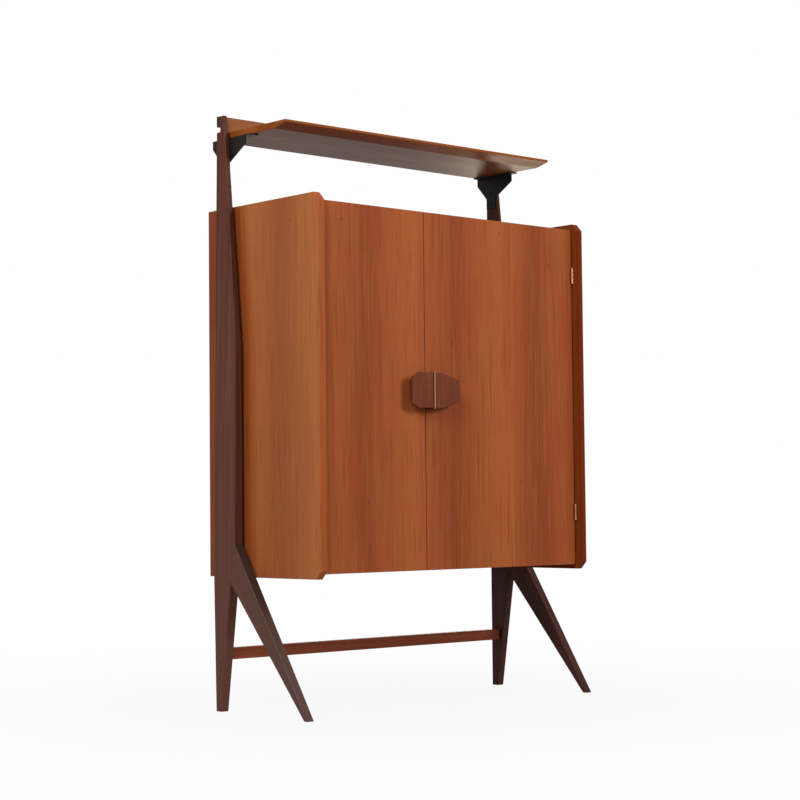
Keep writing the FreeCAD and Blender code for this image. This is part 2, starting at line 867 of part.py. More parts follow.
def handle_half_of(name, start, sign, reach, corner, end):
    """One half of the handle: a thin lip in front, and sides that draw in to a smaller foot on the door."""
    body = new_body(name, start, door_face, handle_height)
    far = sign * reach
    bend = sign * (reach - corner)
    top = handle_half
    face = new_sketch(body, "face", "XZ_Plane", handle_depth)
    draw_outline(face, [(0, top), (bend, top), (far, end), (far, -end), (bend, -top), (0, -top)])
    raised = pad(body, face, handle_depth, True)
    drawn_in = soften(body, raised, handle_undercut, off_the_foot)
    drawn_in.ChamferType = "Two distances"
    drawn_in.FlipDirection = True
    bind(drawn_in, "Size2", handle_depth - handle_lip)
    soften(body, drawn_in, soft_edge, off_the_face)
    return body


strip_start = right_joint_edge + strip_thick
strip_half = handle_half + strip_lap
strip_low = (right_joint_edge, door_face - handle_depth - strip_lap / 2, handle_height - strip_half)
strip_high = (strip_start, door_face, handle_height + strip_half)
handles = [
    handle_half_of("left_handle", left_joint_edge, -1, handle_left, handle_left_cut, handle_left_end_half),
    handle_half_of(
        "right_handle", strip_start, 1, handle_right - strip_thick, handle_right_cut, handle_right_end_half
    ),
    plank("handle_edge_strip", strip_low, strip_high, strip_thick / 8),
]

# Fold-out shelf on the inside of the wide door: it stands against the door and turns down on its lower edge
flap_left = joint + board / 2 + flap_left_gap
flap_right = inner_half - flap_right_gap
flap_face = door_back + ledge_depth
flap_bottom = ceiling - flap_drop - flap_length
flap_height = flap_bottom - flap_foot_gap
flap_hinges = [flap_left + flap_hinge_inset, flap_right - flap_hinge_inset]
ledge_low = flap_height - ledge_height
pivot_x = flap_left + arm_pivot
arm_thick = ledge_depth - arm_door_gap * 2
pivot_y = door_back + arm_door_gap + arm_thick / 2
arm_tip = pivot_x + arm_length
ear_end = arm_thick / 2
mortise_end = ear_end + knuckle_shoulder
groove = flap_hinge_radius + hinge_end_gap


def hinge_grooves(body, low, middles):
    """Hollows that let the round knuckles of the flap hinges lie in the corner of the wood."""
    for number, middle in enumerate(middles):
        start = middle - flap_hinge_length / 2 - hinge_end_gap
        hollow = new_sketch(body, "groove_%d" % number, "YZ_Plane", start)
        draw_circle(hollow, (flap_face, flap_height - low), groove)
        cut(body, hollow, flap_hinge_length + hinge_end_gap * 2, True)


def left_ledge():
    """The batten with the forked end that holds the arm's tongue on a pin."""
    body = new_body("ledge_left", 0, 0, ledge_low)
    plan = new_sketch(body, "plan", "XY_Plane")
    draw_box(plan, flap_left, door_back, pivot_x - mortise_end, flap_face)
    raised = pad(body, plan, ledge_height)
    soften(body, raised, soft_edge)
    for number, low in enumerate((length(0), ledge_height - knuckle_ear - arm_top_gap)):
        ear = new_sketch(body, "ear_%d" % number, "XY_Plane", low)
        near = pivot_y - ear_end
        far = pivot_y + ear_end
        draw_box(ear, pivot_x - mortise_end - soft_edge * 2, near, pivot_x, far)
        pad(body, ear, knuckle_ear)
        round_end = new_sketch(body, "ear_round_%d" % number, "XY_Plane", low)
        draw_circle(round_end, (pivot_x, pivot_y), ear_end)
        pad(body, round_end, knuckle_ear)
    bore = new_sketch(body, "pin_hole", "XY_Plane")
    draw_circle(bore, (pivot_x, pivot_y), arm_pin_radius)
    cut(body, bore, ledge_height, True)
    hinge_grooves(body, ledge_low, flap_hinges[:1])
    return body


def right_ledge():
    """The plain batten beyond the arm's tip."""
    body = new_body("ledge_right", 0, 0, ledge_low)
    plan = new_sketch(body, "plan", "XY_Plane")
    draw_box(plan, arm_tip + arm_tip_gap, door_back, flap_right, flap_face)
    raised = pad(body, plan, ledge_height)
    soften(body, raised, soft_edge)
    hinge_grooves(body, ledge_low, flap_hinges[1:])
    return body


def folding_shelf():
    """The serving shelf, upright against the door when it is put away."""
    body = new_body("fold_out_shelf", 0, 0, flap_bottom)
    plan = new_sketch(body, "plan", "XY_Plane")
    draw_box(plan, flap_left, flap_face - flap_board, flap_right, flap_face)
    raised = pad(body, plan, flap_length)
    soften(body, raised, soft_edge)
    hinge_grooves(body, flap_bottom, flap_hinges)
    return body


def swing_arm():
    """The arm in line with the ledge, with a tongue between the ears and a lower edge that rises to the tip."""
    body = new_body("support_arm", pivot_x, pivot_y, ledge_low)
    side = new_sketch(body, "side", "XZ_Plane", -arm_thick / 2)
    top = ledge_height - arm_top_gap
    rise = top - arm_tip_height
    corners = [
        (mortise_end, 0),
        (arm_straight, 0),
        (arm_length, rise),
        (arm_length, top),
        (mortise_end, top),
    ]
    draw_outline(side, corners)
    raised = pad(body, side, arm_thick)
    soften(body, raised, soft_edge)
    low = knuckle_ear + knuckle_gap
    high = top - knuckle_ear - knuckle_gap
    tongue = new_sketch(body, "tongue", "XY_Plane", low)
    draw_box(tongue, 0, -ear_end, mortise_end + soft_edge * 2, ear_end)
    pad(body, tongue, high - low)
    round_end = new_sketch(body, "tongue_round", "XY_Plane", low)
    draw_circle(round_end, (0, 0), ear_end)
    pad(body, round_end, high - low)
    bore = new_sketch(body, "pin_hole", "XY_Plane")
    draw_circle(bore, (0, 0), arm_pin_radius + hinge_running_gap)
    cut(body, bore, ledge_height, True)
    return body


def flap_hinge(number, middle):
    """One flap hinge: the leaf on the ledge, the leaf on the shelf and the pin."""
    low = middle - flap_hinge_length / 2
    third = (flap_hinge_length - hinge_end_gap * 2) / 3
    starts = [low, low + third + hinge_end_gap, low + (third + hinge_end_gap) * 2]
    clear = flap_hinge_radius + hinge_clearance
    outer = flap_face + flap_leaf
    running = hinge_pin_radius + hinge_running_gap
    leaves = []
    kinds = [("ledge", True, (0, 2), hinge_pin_radius), ("shelf", False, (1,), running)]
    for kind, below, steps, drill_radius in kinds:
        tag = "%s_%d" % (kind, number)
        near = flap_height - clear - flap_leaf_width if below else flap_height + clear
        far = near + flap_leaf_width
        pieces = [block("plate_" + tag, (low, flap_face, near), (low + flap_hinge_length, outer, far))]
        for step in steps:
            start = starts[step]
            step_tag = "%s_%d" % (tag, step)
            pieces.append(rod("curl_" + step_tag, (start, flap_face, flap_height), flap_hinge_radius, third, "X"))
            web_low = flap_height - clear if below else flap_height
            web_high = flap_height if below else flap_height + clear
            web = block("web_" + step_tag, (start, flap_face, web_low), (start + third, outer, web_high))
            pieces.append(web)
        drill = rod("bore_" + tag, (low, flap_face, flap_height), drill_radius, flap_hinge_length, "X")
        leaves.append(bored("flap_hinge_" + tag, fuse("flap_hinge_body_" + tag, pieces), drill))
    pin = rod("flap_pin_%d" % number, (low, flap_face, flap_height), hinge_pin_radius, flap_hinge_length, "X")
    return leaves[0], leaves[1], pin


def arm_pin():
    """The steel pin through the ears and the tongue."""
    top = ledge_height - arm_top_gap
    item = rod("arm_pin", (pivot_x, pivot_y, ledge_low), arm_pin_radius, top, "Z")
    item.Label = "arm_pin"
    return item


def flap_catch_parts():
    """A magnet on the door above the folded shelf, and its plate let into the shelf's top edge."""
    middle = (flap_left + flap_right) / 2
    low_x = middle - flap_catch_width / 2
    high_x = middle + flap_catch_width / 2
    bottom = flap_bottom + flap_length + strike_thick + flap_catch_gap
    low = (low_x, door_back, bottom)
    magnet = block("flap_catch", low, (high_x, flap_face, bottom + flap_catch_height))
    magnet.Label = "flap_catch"
    plate_top = flap_bottom + flap_length + strike_thick
    plate_low = (low_x + strike_margin, flap_face - flap_board + strike_margin, flap_bottom + flap_length)
    plate = block("flap_strike", plate_low, (high_x - strike_margin, flap_face - strike_margin, plate_top))
    plate.Label = "flap_strike"
    return [magnet, plate]


flap_sets = [flap_hinge(number, middle) for number, middle in enumerate(flap_hinges)]
flap_nodes = [
    left_ledge(),
    right_ledge(),
    folding_shelf(),
    swing_arm(),
    arm_pin(),
    group("flap_ledge_leaves", [hinge[0] for hinge in flap_sets]),
    group("flap_shelf_leaves", [hinge[1] for hinge in flap_sets]),
    group("flap_hinge_pins", [hinge[2] for hinge in flap_sets]),
] + flap_catch_parts()

doc.recompute()

# Every feature must have worked, every cut must have removed wood, and every piece must be sound
for item in doc.Objects:
    if "Invalid" in item.State or "Error" in item.State:
        raise RuntimeError("%s failed: %s" % (item.Name, item.State))
for before, after in cut.made:
    if after.Shape.Volume > before.Shape.Volume - 0.01:
        raise RuntimeError("%s cuts nothing" % after.Name)
nodes = carcass + shelves + frames + upper + hinge_nodes + doors + handles + flap_nodes
for node in nodes:
    if node.Shape.isNull() or not node.Shape.isValid():
        raise RuntimeError("%s is not a sound solid" % node.Label)

os.makedirs("parts", exist_ok=True)
for node in nodes:
    node.Shape.exportStep("parts/" + node.Label + ".step")
print("%d pieces written" % len(nodes))
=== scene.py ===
"""Bar cabinet with a fold-out serving shelf, dressed for its picture.

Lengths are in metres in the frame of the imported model: the doors face -Y and the floor is at Z = 0.
"""
import math

import bmesh
import bpy
from mathutils import Matrix, Vector


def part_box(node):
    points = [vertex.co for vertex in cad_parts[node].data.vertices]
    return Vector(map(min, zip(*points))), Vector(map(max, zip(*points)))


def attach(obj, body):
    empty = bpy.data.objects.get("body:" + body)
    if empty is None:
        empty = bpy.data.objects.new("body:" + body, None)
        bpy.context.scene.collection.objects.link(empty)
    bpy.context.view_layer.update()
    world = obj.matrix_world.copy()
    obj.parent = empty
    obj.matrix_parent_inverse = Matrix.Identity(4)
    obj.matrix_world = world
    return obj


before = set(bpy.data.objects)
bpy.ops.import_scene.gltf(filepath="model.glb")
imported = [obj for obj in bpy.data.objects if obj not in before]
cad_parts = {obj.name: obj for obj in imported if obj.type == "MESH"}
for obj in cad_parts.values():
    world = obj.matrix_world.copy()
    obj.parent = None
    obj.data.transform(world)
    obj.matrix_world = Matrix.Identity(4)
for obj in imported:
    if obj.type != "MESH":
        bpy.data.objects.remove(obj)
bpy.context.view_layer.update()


# Side panels
# Boards of 18 mm faced with sliced teak veneer, the grain upright, with the two front corners sawn off.
# The leaves of veneer lie side by side in the order they were cut, so each repeats the figure of the last.

def linear(hex_code):
    """An sRGB hex colour as the linear colour that a shader takes."""
    shares = [int(hex_code[i:i + 2], 16) / 255 for i in (1, 3, 5)]
    return [c / 12.92 if c <= 0.04045 else ((c + 0.055) / 1.055) ** 2.4 for c in shares] + [1.0]


def add(tree, kind, inputs, **settings):
    """Adds one node. Each input is a value, or the output that feeds it.

    MapRange takes a value at 0, the range it comes from at 1 and 2, and the range it goes to at 3 and 4,
    which is 0 to 1 when left out. Mix takes the second colour's share at 0 and the two colours at 6 and 7.
    """
    node = tree.nodes.new("ShaderNode" + kind)
    for name, value in settings.items():
        setattr(node, name, value)
    for name, value in inputs.items():
        if isinstance(value, bpy.types.NodeSocket):
            tree.links.new(value, node.inputs[name])
        else:
            node.inputs[name].default_value = value
    return node


def blank(name):
    """A new material with its node tree and its shader."""
    material = bpy.data.materials.new(name)
    material.use_nodes = True
    return material, material.node_tree, material.node_tree.nodes["Principled BSDF"]


def shade_at(tree, figure, shades):
    """The colour at a place from 0 to 1 along a row of shades."""
    ramp = add(tree, "ValToRGB", {"Fac": figure})
    stops = ramp.color_ramp.elements
    stops.remove(stops[1])
    stops[0].color = linear(shades[0][1])
    for place, shade in shades[1:]:
        stops.new(place).color = linear(shade)
    return ramp.outputs[0]


def oil(tree, shader, colour, threads, rough, height, relief, level):
    """Rubbed oil on wood: dark threads of the grain stay duller than light ones, and its relief shows."""
    tree.links.new(colour, shader.inputs["Base Color"])
    dulled = add(tree, "MapRange", {0: threads, 1: 0.3, 2: 0.7, 3: rough[0], 4: rough[1]}).outputs[0]
    tree.links.new(dulled, shader.inputs["Roughness"])
    bump = add(tree, "Bump", {"Height": height, "Strength": relief, "Distance": 0.0002}).outputs[0]
    tree.links.new(bump, shader.inputs["Normal"])
    shader.inputs["IOR"].default_value = 1.45
    shader.inputs["Specular IOR Level"].default_value = level


def veneer(name, across, along, through, leaf, seam, shades, shine, level,
           tints=(), turn=(0.55, 0.65), relief=0.30):
    """Oiled veneer. Shades run across one leaf from its seam; pores are drawn coarser than real ones.

    A tint lies on the faces that look one way along an axis, and turn is how squarely they have to face it.
    """
    material, tree, shader = blank(name)
    spot = add(tree, "TexCoord", {}).outputs["Object"]
    axis = add(tree, "SeparateXYZ", {"Vector": spot}).outputs
    # the thickness counts too, so that the figure runs on round an edge
    wrapped = add(tree, "Math", {0: axis[across], 1: axis[through]}).outputs[0]
    from_seam = add(tree, "Math", {0: wrapped, 1: seam}, operation="SUBTRACT").outputs[0]
    leaves = add(tree, "Math", {0: from_seam, 1: leaf}, operation="DIVIDE").outputs[0]
    number = add(tree, "Math", {0: leaves}, operation="FLOOR").outputs[0]
    share = add(tree, "Math", {0: leaves}, operation="FRACT").outputs[0]
    sheet = add(tree, "CombineXYZ", {0: share, 1: axis[along], 2: number}).outputs[0]

    def grain(width, length, change, detail):
        """Noise drawn out along the grain, with marks of one size in metres that change from leaf to leaf."""
        stretch = (leaf / width, 1 / length, change)
        drawn = add(tree, "VectorMath", {0: sheet, 1: stretch}, operation="MULTIPLY").outputs[0]
        return add(tree, "TexNoise", {"Vector": drawn, "Scale": 1.0, "Detail": detail}).outputs["Fac"]

    sway = grain(width=0.120, length=0.60, change=0.4, detail=1.0)
    lines = grain(width=0.022, length=0.90, change=0.5, detail=2.5)
    pale_streaks = grain(width=0.0085, length=0.22, change=0.8, detail=1.5)
    dark_streaks = grain(width=0.0065, length=0.17, change=1.7, detail=1.5)
    threads = grain(width=0.0030, length=0.16, change=0.9, detail=1.0)
    pores = grain(width=0.0014, length=0.030, change=1.3, detail=1.0)
    patches = grain(width=0.070, length=0.35, change=2.3, detail=2.0)
    # the sway bends the figure by a few centimetres and the growth lines break it up
    bent = add(tree, "Math", {0: sway, 1: 0.18, 2: share}, operation="MULTIPLY_ADD").outputs[0]
    broken = add(tree, "Math", {0: lines, 1: 0.36, 2: bent}, operation="MULTIPLY_ADD").outputs[0]
    figure = add(tree, "Math", {0: broken, 1: 0.27}, operation="SUBTRACT").outputs[0]
    banded = shade_at(tree, figure, shades)
    # patches drift between redder and yellower wood, and the fine threads between dark and light
    hue = add(tree, "MapRange", {0: patches, 1: 0.3, 2: 0.7, 3: 0.497, 4: 0.504}).outputs[0]
    tone = add(tree, "MapRange", {0: threads, 1: 0.3, 2: 0.7, 3: 0.95, 4: 1.05}).outputs[0]
    toned = add(tree, "HueSaturation", {"Color": banded, "Hue": hue, "Value": tone}).outputs[0]
    # only the crests of each noise show, as short pale and dark streaks and as open pores
    pale = add(tree, "MapRange", {0: pale_streaks, 1: 0.55, 2: 0.72, 3: 0.0, 4: 0.46}).outputs[0]
    lit = add(tree, "Mix", {0: pale, 6: toned, 7: linear(shades[0][1])}, data_type="RGBA").outputs[2]
    dark = add(tree, "MapRange", {0: dark_streaks, 1: 0.56, 2: 0.74, 3: 0.0, 4: 0.36}).outputs[0]
    streaked = add(tree, "Mix", {0: dark, 6: lit, 7: linear("#6A2E12")}, data_type="RGBA").outputs[2]
    open_pores = add(tree, "MapRange", {0: pores, 1: 0.56, 2: 0.74, 3: 0.0, 4: 0.17}).outputs[0]
    pored = add(tree, "Mix", {0: open_pores, 6: streaked, 7: linear("#54220C")}, data_type="RGBA").outputs[2]
    # pin knots of a few millimetres, about 27 cm apart across the board and 46 cm along it
    board = add(tree, "CombineXYZ", {0: wrapped, 1: axis[along]}).outputs[0]
    wide = {0: board, 1: (1 / 0.27, 1 / 0.46, 0.0)}
    apart = add(tree, "VectorMath", wide, operation="MULTIPLY").outputs[0]
    cells = add(tree, "TexVoronoi", {"Vector": apart, "Scale": 1.0}, voronoi_dimensions="2D")
    from_knot = cells.outputs["Distance"]
    pin_knots = add(tree, "MapRange", {0: from_knot, 1: 0.004, 2: 0.014, 3: 0.40, 4: 0.0}).outputs[0]
    colour = add(tree, "Mix", {0: pin_knots, 6: pored, 7: linear("#4A1C0A")}, data_type="RGBA").outputs[2]
    # a face turned one way along an axis may take a tint of its own: lipping and end grain, and painted shade
    # and painted reflection on some faces
    for axis_name, sign, tint in tints:
        normal = add(tree, "TexCoord", {}).outputs["Normal"]
        facing = add(tree, "SeparateXYZ", {"Vector": normal}).outputs[axis_name]
        turned = add(tree, "MapRange", {0: facing, 1: turn[0] * sign, 2: turn[1] * sign}).outputs[0]
        tinted = {0: turned, 6: colour, 7: linear(tint)}
        colour = add(tree, "Mix", tinted, data_type="RGBA", blend_type="MULTIPLY").outputs[2]
    # open pores are hollows among the threads
    height = add(tree, "Math", {0: open_pores, 1: -2.0, 2: threads}, operation="MULTIPLY_ADD").outputs[0]
    rough = (shine + 0.06, shine - 0.05)
    oil(tree, shader, colour, threads, rough, height, relief, level)
    return material


def redden_and_darken(material, share):
    """Darkens the wood towards red by a share from 0 to 1, used for painted shade and for a redder top."""
    tree = material.node_tree
    colour = tree.nodes["Principled BSDF"].inputs["Base Color"]
    plain_colour = colour.links[0].from_socket
    reddened = {0: share, 6: plain_colour, 7: linear("#BF8959")}
    mix = add(tree, "Mix", reddened, data_type="RGBA", blend_type="MULTIPLY")
    tree.links.new(mix.outputs[2], colour)


def dress(material, *names):
    """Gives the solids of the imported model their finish."""
    for name in names:
        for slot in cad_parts[name].material_slots:
            slot.material = material


# oiled teak, a little yellower than the doors, paler towards the front and again in front of the upright
side_shades = [(0.0, "#A45D2F"), (0.18, "#A86130"), (0.42, "#99552B"), (0.62, "#8D4B25"), (0.80, "#99542B"),
               (1.0, "#A25B2E")]
left_side_teak = veneer(
    "oiled_teak_veneer_left_side", across="Y", along="Z", through="X", leaf=0.270, seam=-0.662,
    shades=side_shades, shine=0.46, level=0.16, tints=[("Y", -1, "#E8CBA8")]
)
# the right lipping is redder, and the inside is painted darker and redder as painted shade
right_side_teak = veneer(
    "oiled_teak_veneer_right_side", across="Y", along="Z", through="X", leaf=0.270, seam=0.184,
    shades=side_shades, shine=0.46, level=0.04, tints=[("Y", -1, "#A87959"), ("X", -1, "#BA9A87")]
)
# painted shade: the left panel is darkened to a deeper red behind the upright, and in front of it as far as
# the upright shades it
side_tree = left_side_teak.node_tree
side_spot = add(side_tree, "TexCoord", {}).outputs["Object"]
side_axis = add(side_tree, "SeparateXYZ", {"Vector": side_spot}).outputs
# the front edge of the upright leans back above its waist, and its rear edge is plumb
waist_height = 0.855
waist_front = 0.066
top_height = 1.400
top_front = 0.117
leaning = {0: side_axis["Z"], 1: waist_height, 2: top_height, 3: waist_front, 4: top_front}
front_edge = add(side_tree, "MapRange", leaning).outputs[0]
in_front = add(side_tree, "Math", {0: front_edge, 1: side_axis["Y"]}, operation="SUBTRACT").outputs[0]
near_front = add(side_tree, "MapRange", {0: in_front, 1: 0.0, 2: 0.040, 3: 0.70, 4: 0.0}).outputs[0]
near_rear = add(side_tree, "MapRange", {0: side_axis["Y"], 1: 0.155, 2: 0.180, 3: 1.0, 4: 0.95}).outputs[0]
painted_upright_shade = add(side_tree, "Math", {0: near_front, 1: near_rear}, operation="MULTIPLY").outputs[0]
redden_and_darken(left_side_teak, painted_upright_shade)
dress(left_side_teak, "left_side_panel")
dress(right_side_teak, "right_side_panel")


# Top, bottom, divider and back
# Veneered boards glued between the sides, set back behind the doors, with an upright board at their joint.
# The back is thin plywood screwed on from behind with slotted round heads.

# oiled teak with one broad dark band to each leaf
inner_shades = [(0.0, "#A0592B"), (0.25, "#975026"), (0.55, "#8A4820"), (0.75, "#965026"), (1.0, "#A0592B")]
inner_teak = veneer(
    "oiled_teak_veneer_inside", across="Y", along="X", through="Z", leaf=0.190, seam=-0.180,
    shades=inner_shades, shine=0.50, level=0.20
)
divider_teak = veneer(
    "oiled_teak_veneer_divider", across="Y", along="Z", through="X", leaf=0.190, seam=-0.180,
    shades=inner_shades, shine=0.50, level=0.20
)
dress(inner_teak, "top_panel", "bottom_panel")
dress(divider_teak, "divider")

# pale rotary-cut face with broad wavy figure, flatter and drier than the teak
plywood_shades = [(0.0, "#B58A57"), (0.3, "#AB7F4E"), (0.5, "#9F7344"), (0.7, "#AD8150"), (1.0, "#B58A57")]
plywood = veneer(
    "birch_plywood", across="X", along="Z", through="Y", leaf=0.230, seam=-0.400,
    shades=plywood_shades, shine=0.62, level=0.20
)
dress(plywood, "back_panel")


def mottle(tree, shader, marks, dark, light, rough, bumps, relief, depth=0.0001):
    """Lets colour and roughness follow one pattern of marks, and the relief the same pattern or another."""
    # nearly all of a noise lies between these two values
    low = 0.35
    high = 0.65
    share = add(tree, "MapRange", {0: marks, 1: low, 2: high}).outputs[0]
    colour = add(tree, "Mix", {0: share, 6: linear(dark), 7: linear(light)}, data_type="RGBA").outputs[2]
    tree.links.new(colour, shader.inputs["Base Color"])
    dulled = add(tree, "MapRange", {0: marks, 1: low, 2: high, 3: rough[0], 4: rough[1]}).outputs[0]
    tree.links.new(dulled, shader.inputs["Roughness"])
    bump = add(tree, "Bump", {"Height": bumps, "Strength": relief, "Distance": depth}).outputs[0]
    tree.links.new(bump, shader.inputs["Normal"])


def screw_steel(name, metal, grime):
    """Bright screw metal: fine turning marks in the roughness and a little grime in the colour."""
    material, tree, shader = blank(name)
    spot = add(tree, "TexCoord", {}).outputs["Object"]
    # marks of about 1.5 mm, so that a head carries a few of them
    marks = add(tree, "TexNoise", {"Vector": spot, "Scale": 1 / 0.0015, "Detail": 2.0}).outputs["Fac"]
    mottle(tree, shader, marks, dark=grime, light=metal, rough=(0.46, 0.28), bumps=marks, relief=0.12)
    shader.inputs["Metallic"].default_value = 1.0
    return material


def hang(shape, name, material, body):
    """Makes a finished shape a piece that moves with a body of the cabinet."""
    mesh = bpy.data.meshes.new(name)
    shape.to_mesh(mesh)
    shape.free()
    mesh.materials.append(material)
    piece = bpy.data.objects.new(name, mesh)
    bpy.context.scene.collection.objects.link(piece)
    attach(piece, body)


def slotted_screws(name, places, radius, proud, body, material):
    """Screw heads let into a surface and standing proud of it by a little.

    Each place is a point on the surface, the way it faces, and the turn at which the driver left the slot.
    """
    half_slot = 0.13 * radius
    thickness = 0.30 * radius
    longest_rim = 0.6 * radius
    head = bmesh.new()
    bmesh.ops.create_circle(head, cap_ends=True, segments=20, radius=radius)
    for edge_of_slot in (-half_slot, half_slot):
        everything = head.verts[:] + head.edges[:] + head.faces[:]
        bmesh.ops.bisect_plane(head, geom=everything, plane_co=(edge_of_slot, 0, 0), plane_no=(1, 0, 0))
    # the two halves beside the slot stand up, and the strip between them stays as its floor
    halves = [f for f in head.faces if abs(f.calc_center_median().x) > half_slot]
    raised = bmesh.ops.extrude_face_region(head, geom=halves)["geom"]
    tops = [v for v in raised if isinstance(v, bmesh.types.BMVert)]
    bmesh.ops.translate(head, verts=tops, vec=(0, 0, thickness))
    rims = [e for e in head.edges if all(v in tops for v in e.verts) and e.calc_length() < longest_rim]
    bmesh.ops.bevel(head, geom=rims, offset=0.10 * radius, segments=2, profile=0.5, affect="EDGES",
                    material=-1)
    bmesh.ops.recalc_face_normals(head, faces=head.faces)
    one = bpy.data.meshes.new(name + "_one")
    head.to_mesh(one)
    head.free()
    row = bmesh.new()
    for point, facing, turn in places:
        before = len(row.verts)
        row.from_mesh(one)
        row.verts.ensure_lookup_table()
        outwards = Vector(facing).to_track_quat("Z", "Y").to_matrix().to_4x4()
        seat = Vector(point) + Vector(facing) * (proud - thickness)
        driven = Matrix.Translation(seat) @ outwards @ Matrix.Rotation(turn, 4, "Z")
        bmesh.ops.transform(row, matrix=driven, verts=row.verts[before:])
    bpy.data.meshes.remove(one)
    hang(row, name, material, body)


# zinc-plated steel, grey and slightly dull
zinc = screw_steel("zinc_plated_steel", "#B9B6AE", "#8C8880")
back_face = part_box("back_panel")[1][1]
# seven into the bottom panel and seven into the top panel, then four up the divider
row_start = -0.390
row_pitch = 0.130
divider_middle = -0.095
divider_start = 0.500
divider_pitch = 0.165
back_places = []
for height in (0.332, 1.158):
    for step in range(7):
        across = row_start + row_pitch * step
        back_places.append(((across, back_face, height), (0, 1, 0), 0.7 * step))
for step in range(4):
    height = divider_start + divider_pitch * step
    back_places.append(((divider_middle, back_face, height), (0, 1, 0), 0.4 + 0.9 * step))
slotted_screws(
    "back_screws", back_places, radius=0.0034, proud=0.0008, body="cabinet", material=zinc
)


# Loose shelves and their battens
# Veneered boards that slide in on beech battens, two in each compartment; the right ones stop short of the
# folded serving shelf. Each batten is screwed to the upright board beside it.

dress(inner_teak, "left_shelf_lower", "left_shelf_upper", "right_shelf_lower", "right_shelf_upper")


def solid_timber(name, along, lean, shades, line, reach, shine, level, edge_painted_shade=None, floor_grey=None):
    """Planed solid wood. Line and reach are the width and length of a growth line in metres.

    Lean turns the grain about X. An edge painted shade darkens the narrow faces as painted shade, and floor
    grey greys the wood near the floor.
    """
    material, tree, shader = blank(name)
    spot = add(tree, "TexCoord", {}).outputs["Object"]
    turned = add(tree, "Mapping", {"Vector": spot, "Rotation": (lean, 0.0, 0.0)}).outputs[0]

    def grain(width, length, detail):
        """Noise drawn out along the timber's own length."""
        stretch = [1 / width, 1 / width, 1 / width]
        stretch["XYZ".index(along)] = 1 / length
        drawn = add(tree, "VectorMath", {0: turned, 1: stretch}, operation="MULTIPLY").outputs[0]
        return add(tree, "TexNoise", {"Vector": drawn, "Scale": 1.0, "Detail": detail}).outputs["Fac"]

    lines = grain(width=line, length=reach, detail=3.0)
    broad = grain(width=line * 4, length=reach * 1.5, detail=1.0)
    threads = grain(width=0.0022, length=0.09, detail=1.0)
    both = add(tree, "Math", {0: broad, 1: 0.6, 2: lines}, operation="MULTIPLY_ADD").outputs[0]
    figure = add(tree, "MapRange", {0: both, 1: 0.52, 2: 1.08}).outputs[0]
    lined = shade_at(tree, figure, shades)
    tone = add(tree, "MapRange", {0: threads, 1: 0.3, 2: 0.7, 3: 0.92, 4: 1.07}).outputs[0]
    colour = add(tree, "HueSaturation", {"Color": lined, "Value": tone}).outputs[0]
    if edge_painted_shade:
        # painted shade: the narrow faces, and in part the chamfers, are darkened as if in shade
        normal = add(tree, "TexCoord", {}).outputs["Normal"]
        sideways = add(tree, "SeparateXYZ", {"Vector": normal}).outputs["X"]
        broadside = add(tree, "Math", {0: sideways}, operation="ABSOLUTE").outputs[0]
        edge = add(tree, "MapRange", {0: broadside, 1: 0.85, 2: 0.60, 3: 0.0, 4: 0.9}).outputs[0]
        colour = add(tree, "Mix", {0: edge, 6: colour, 7: linear(edge_painted_shade)}, data_type="RGBA").outputs[2]
    if floor_grey:
        # the wood turns greyer towards the floor, and on the narrow faces this thins their painted shade
        # there
        height = add(tree, "SeparateXYZ", {"Vector": spot}).outputs["Z"]
        rubbed = add(tree, "MapRange", {0: height, 1: 0.60, 2: 0.08, 3: 0.0, 4: 0.75}).outputs[0]
        colour = add(tree, "Mix", {0: rubbed, 6: colour, 7: linear(floor_grey)}, data_type="RGBA").outputs[2]
    rough = (shine + 0.07, shine - 0.05)
    oil(tree, shader, colour, threads, rough, height=threads, relief=0.25, level=level)
    return material


# pale straight-grained beech, dry to the touch
beech_shades = [(0.0, "#B98A58"), (0.5, "#C69765"), (1.0, "#D0A374")]
batten_beech = solid_timber(
    "planed_beech_battens", along="Y", lean=0.0, shades=beech_shades, line=0.006, reach=0.20,
    shine=0.58, level=0.3
)
dress(batten_beech, "shelf_battens")
# each row: the inner edge of a pair of battens, the way it faces, the heights of the two, the depth of their
# first screw and the distance to the next
batten_rows = (
    (-0.402, 1, (0.588, 0.860), -0.105, 0.140),
    (-0.116, -1, (0.588, 0.860), -0.105, 0.140),
    (-0.074, 1, (0.680, 1.004), -0.082, 0.130),
    (0.402, -1, (0.680, 1.004), -0.082, 0.130),
)
batten_places = []
for inner_edge, facing, heights, first, pitch in batten_rows:
    for height in heights:
        for step in range(3):
            place = (inner_edge, first + pitch * step, height)
            batten_places.append((place, (facing, 0, 0), 0.8 * step + height))
slotted_screws(
    "batten_screws", batten_places, radius=0.0032, proud=0.0002, body="cabinet", material=zinc
)


# Uprights, front legs and stretcher
# Dark solid hardwood, planed and oiled. Each upright tapers towards the top, and the front leg leaves it on a
# tenon at the knee; a flat stretcher joins the rear legs behind.

# purple-brown wood with near black lines and a low sheen
dark_shades = [(0.0, "#49241C"), (0.35, "#542D23"), (0.7, "#5D3426"), (1.0, "#663C2B")]
leg_lean = math.radians(36)
upright_wood = solid_timber(
    "oiled_dark_hardwood_uprights", along="Z", lean=0.0, shades=dark_shades, line=0.009, reach=0.45,
    shine=0.45, level=0.12, floor_grey="#593931"
)
# the legs carry painted shade on their narrow faces
leg_wood = solid_timber(
    "oiled_dark_hardwood_legs", along="Z", lean=leg_lean, shades=dark_shades, line=0.009, reach=0.45,
    shine=0.45, level=0.12, edge_painted_shade="#1E0E0C", floor_grey="#5A423A"
)
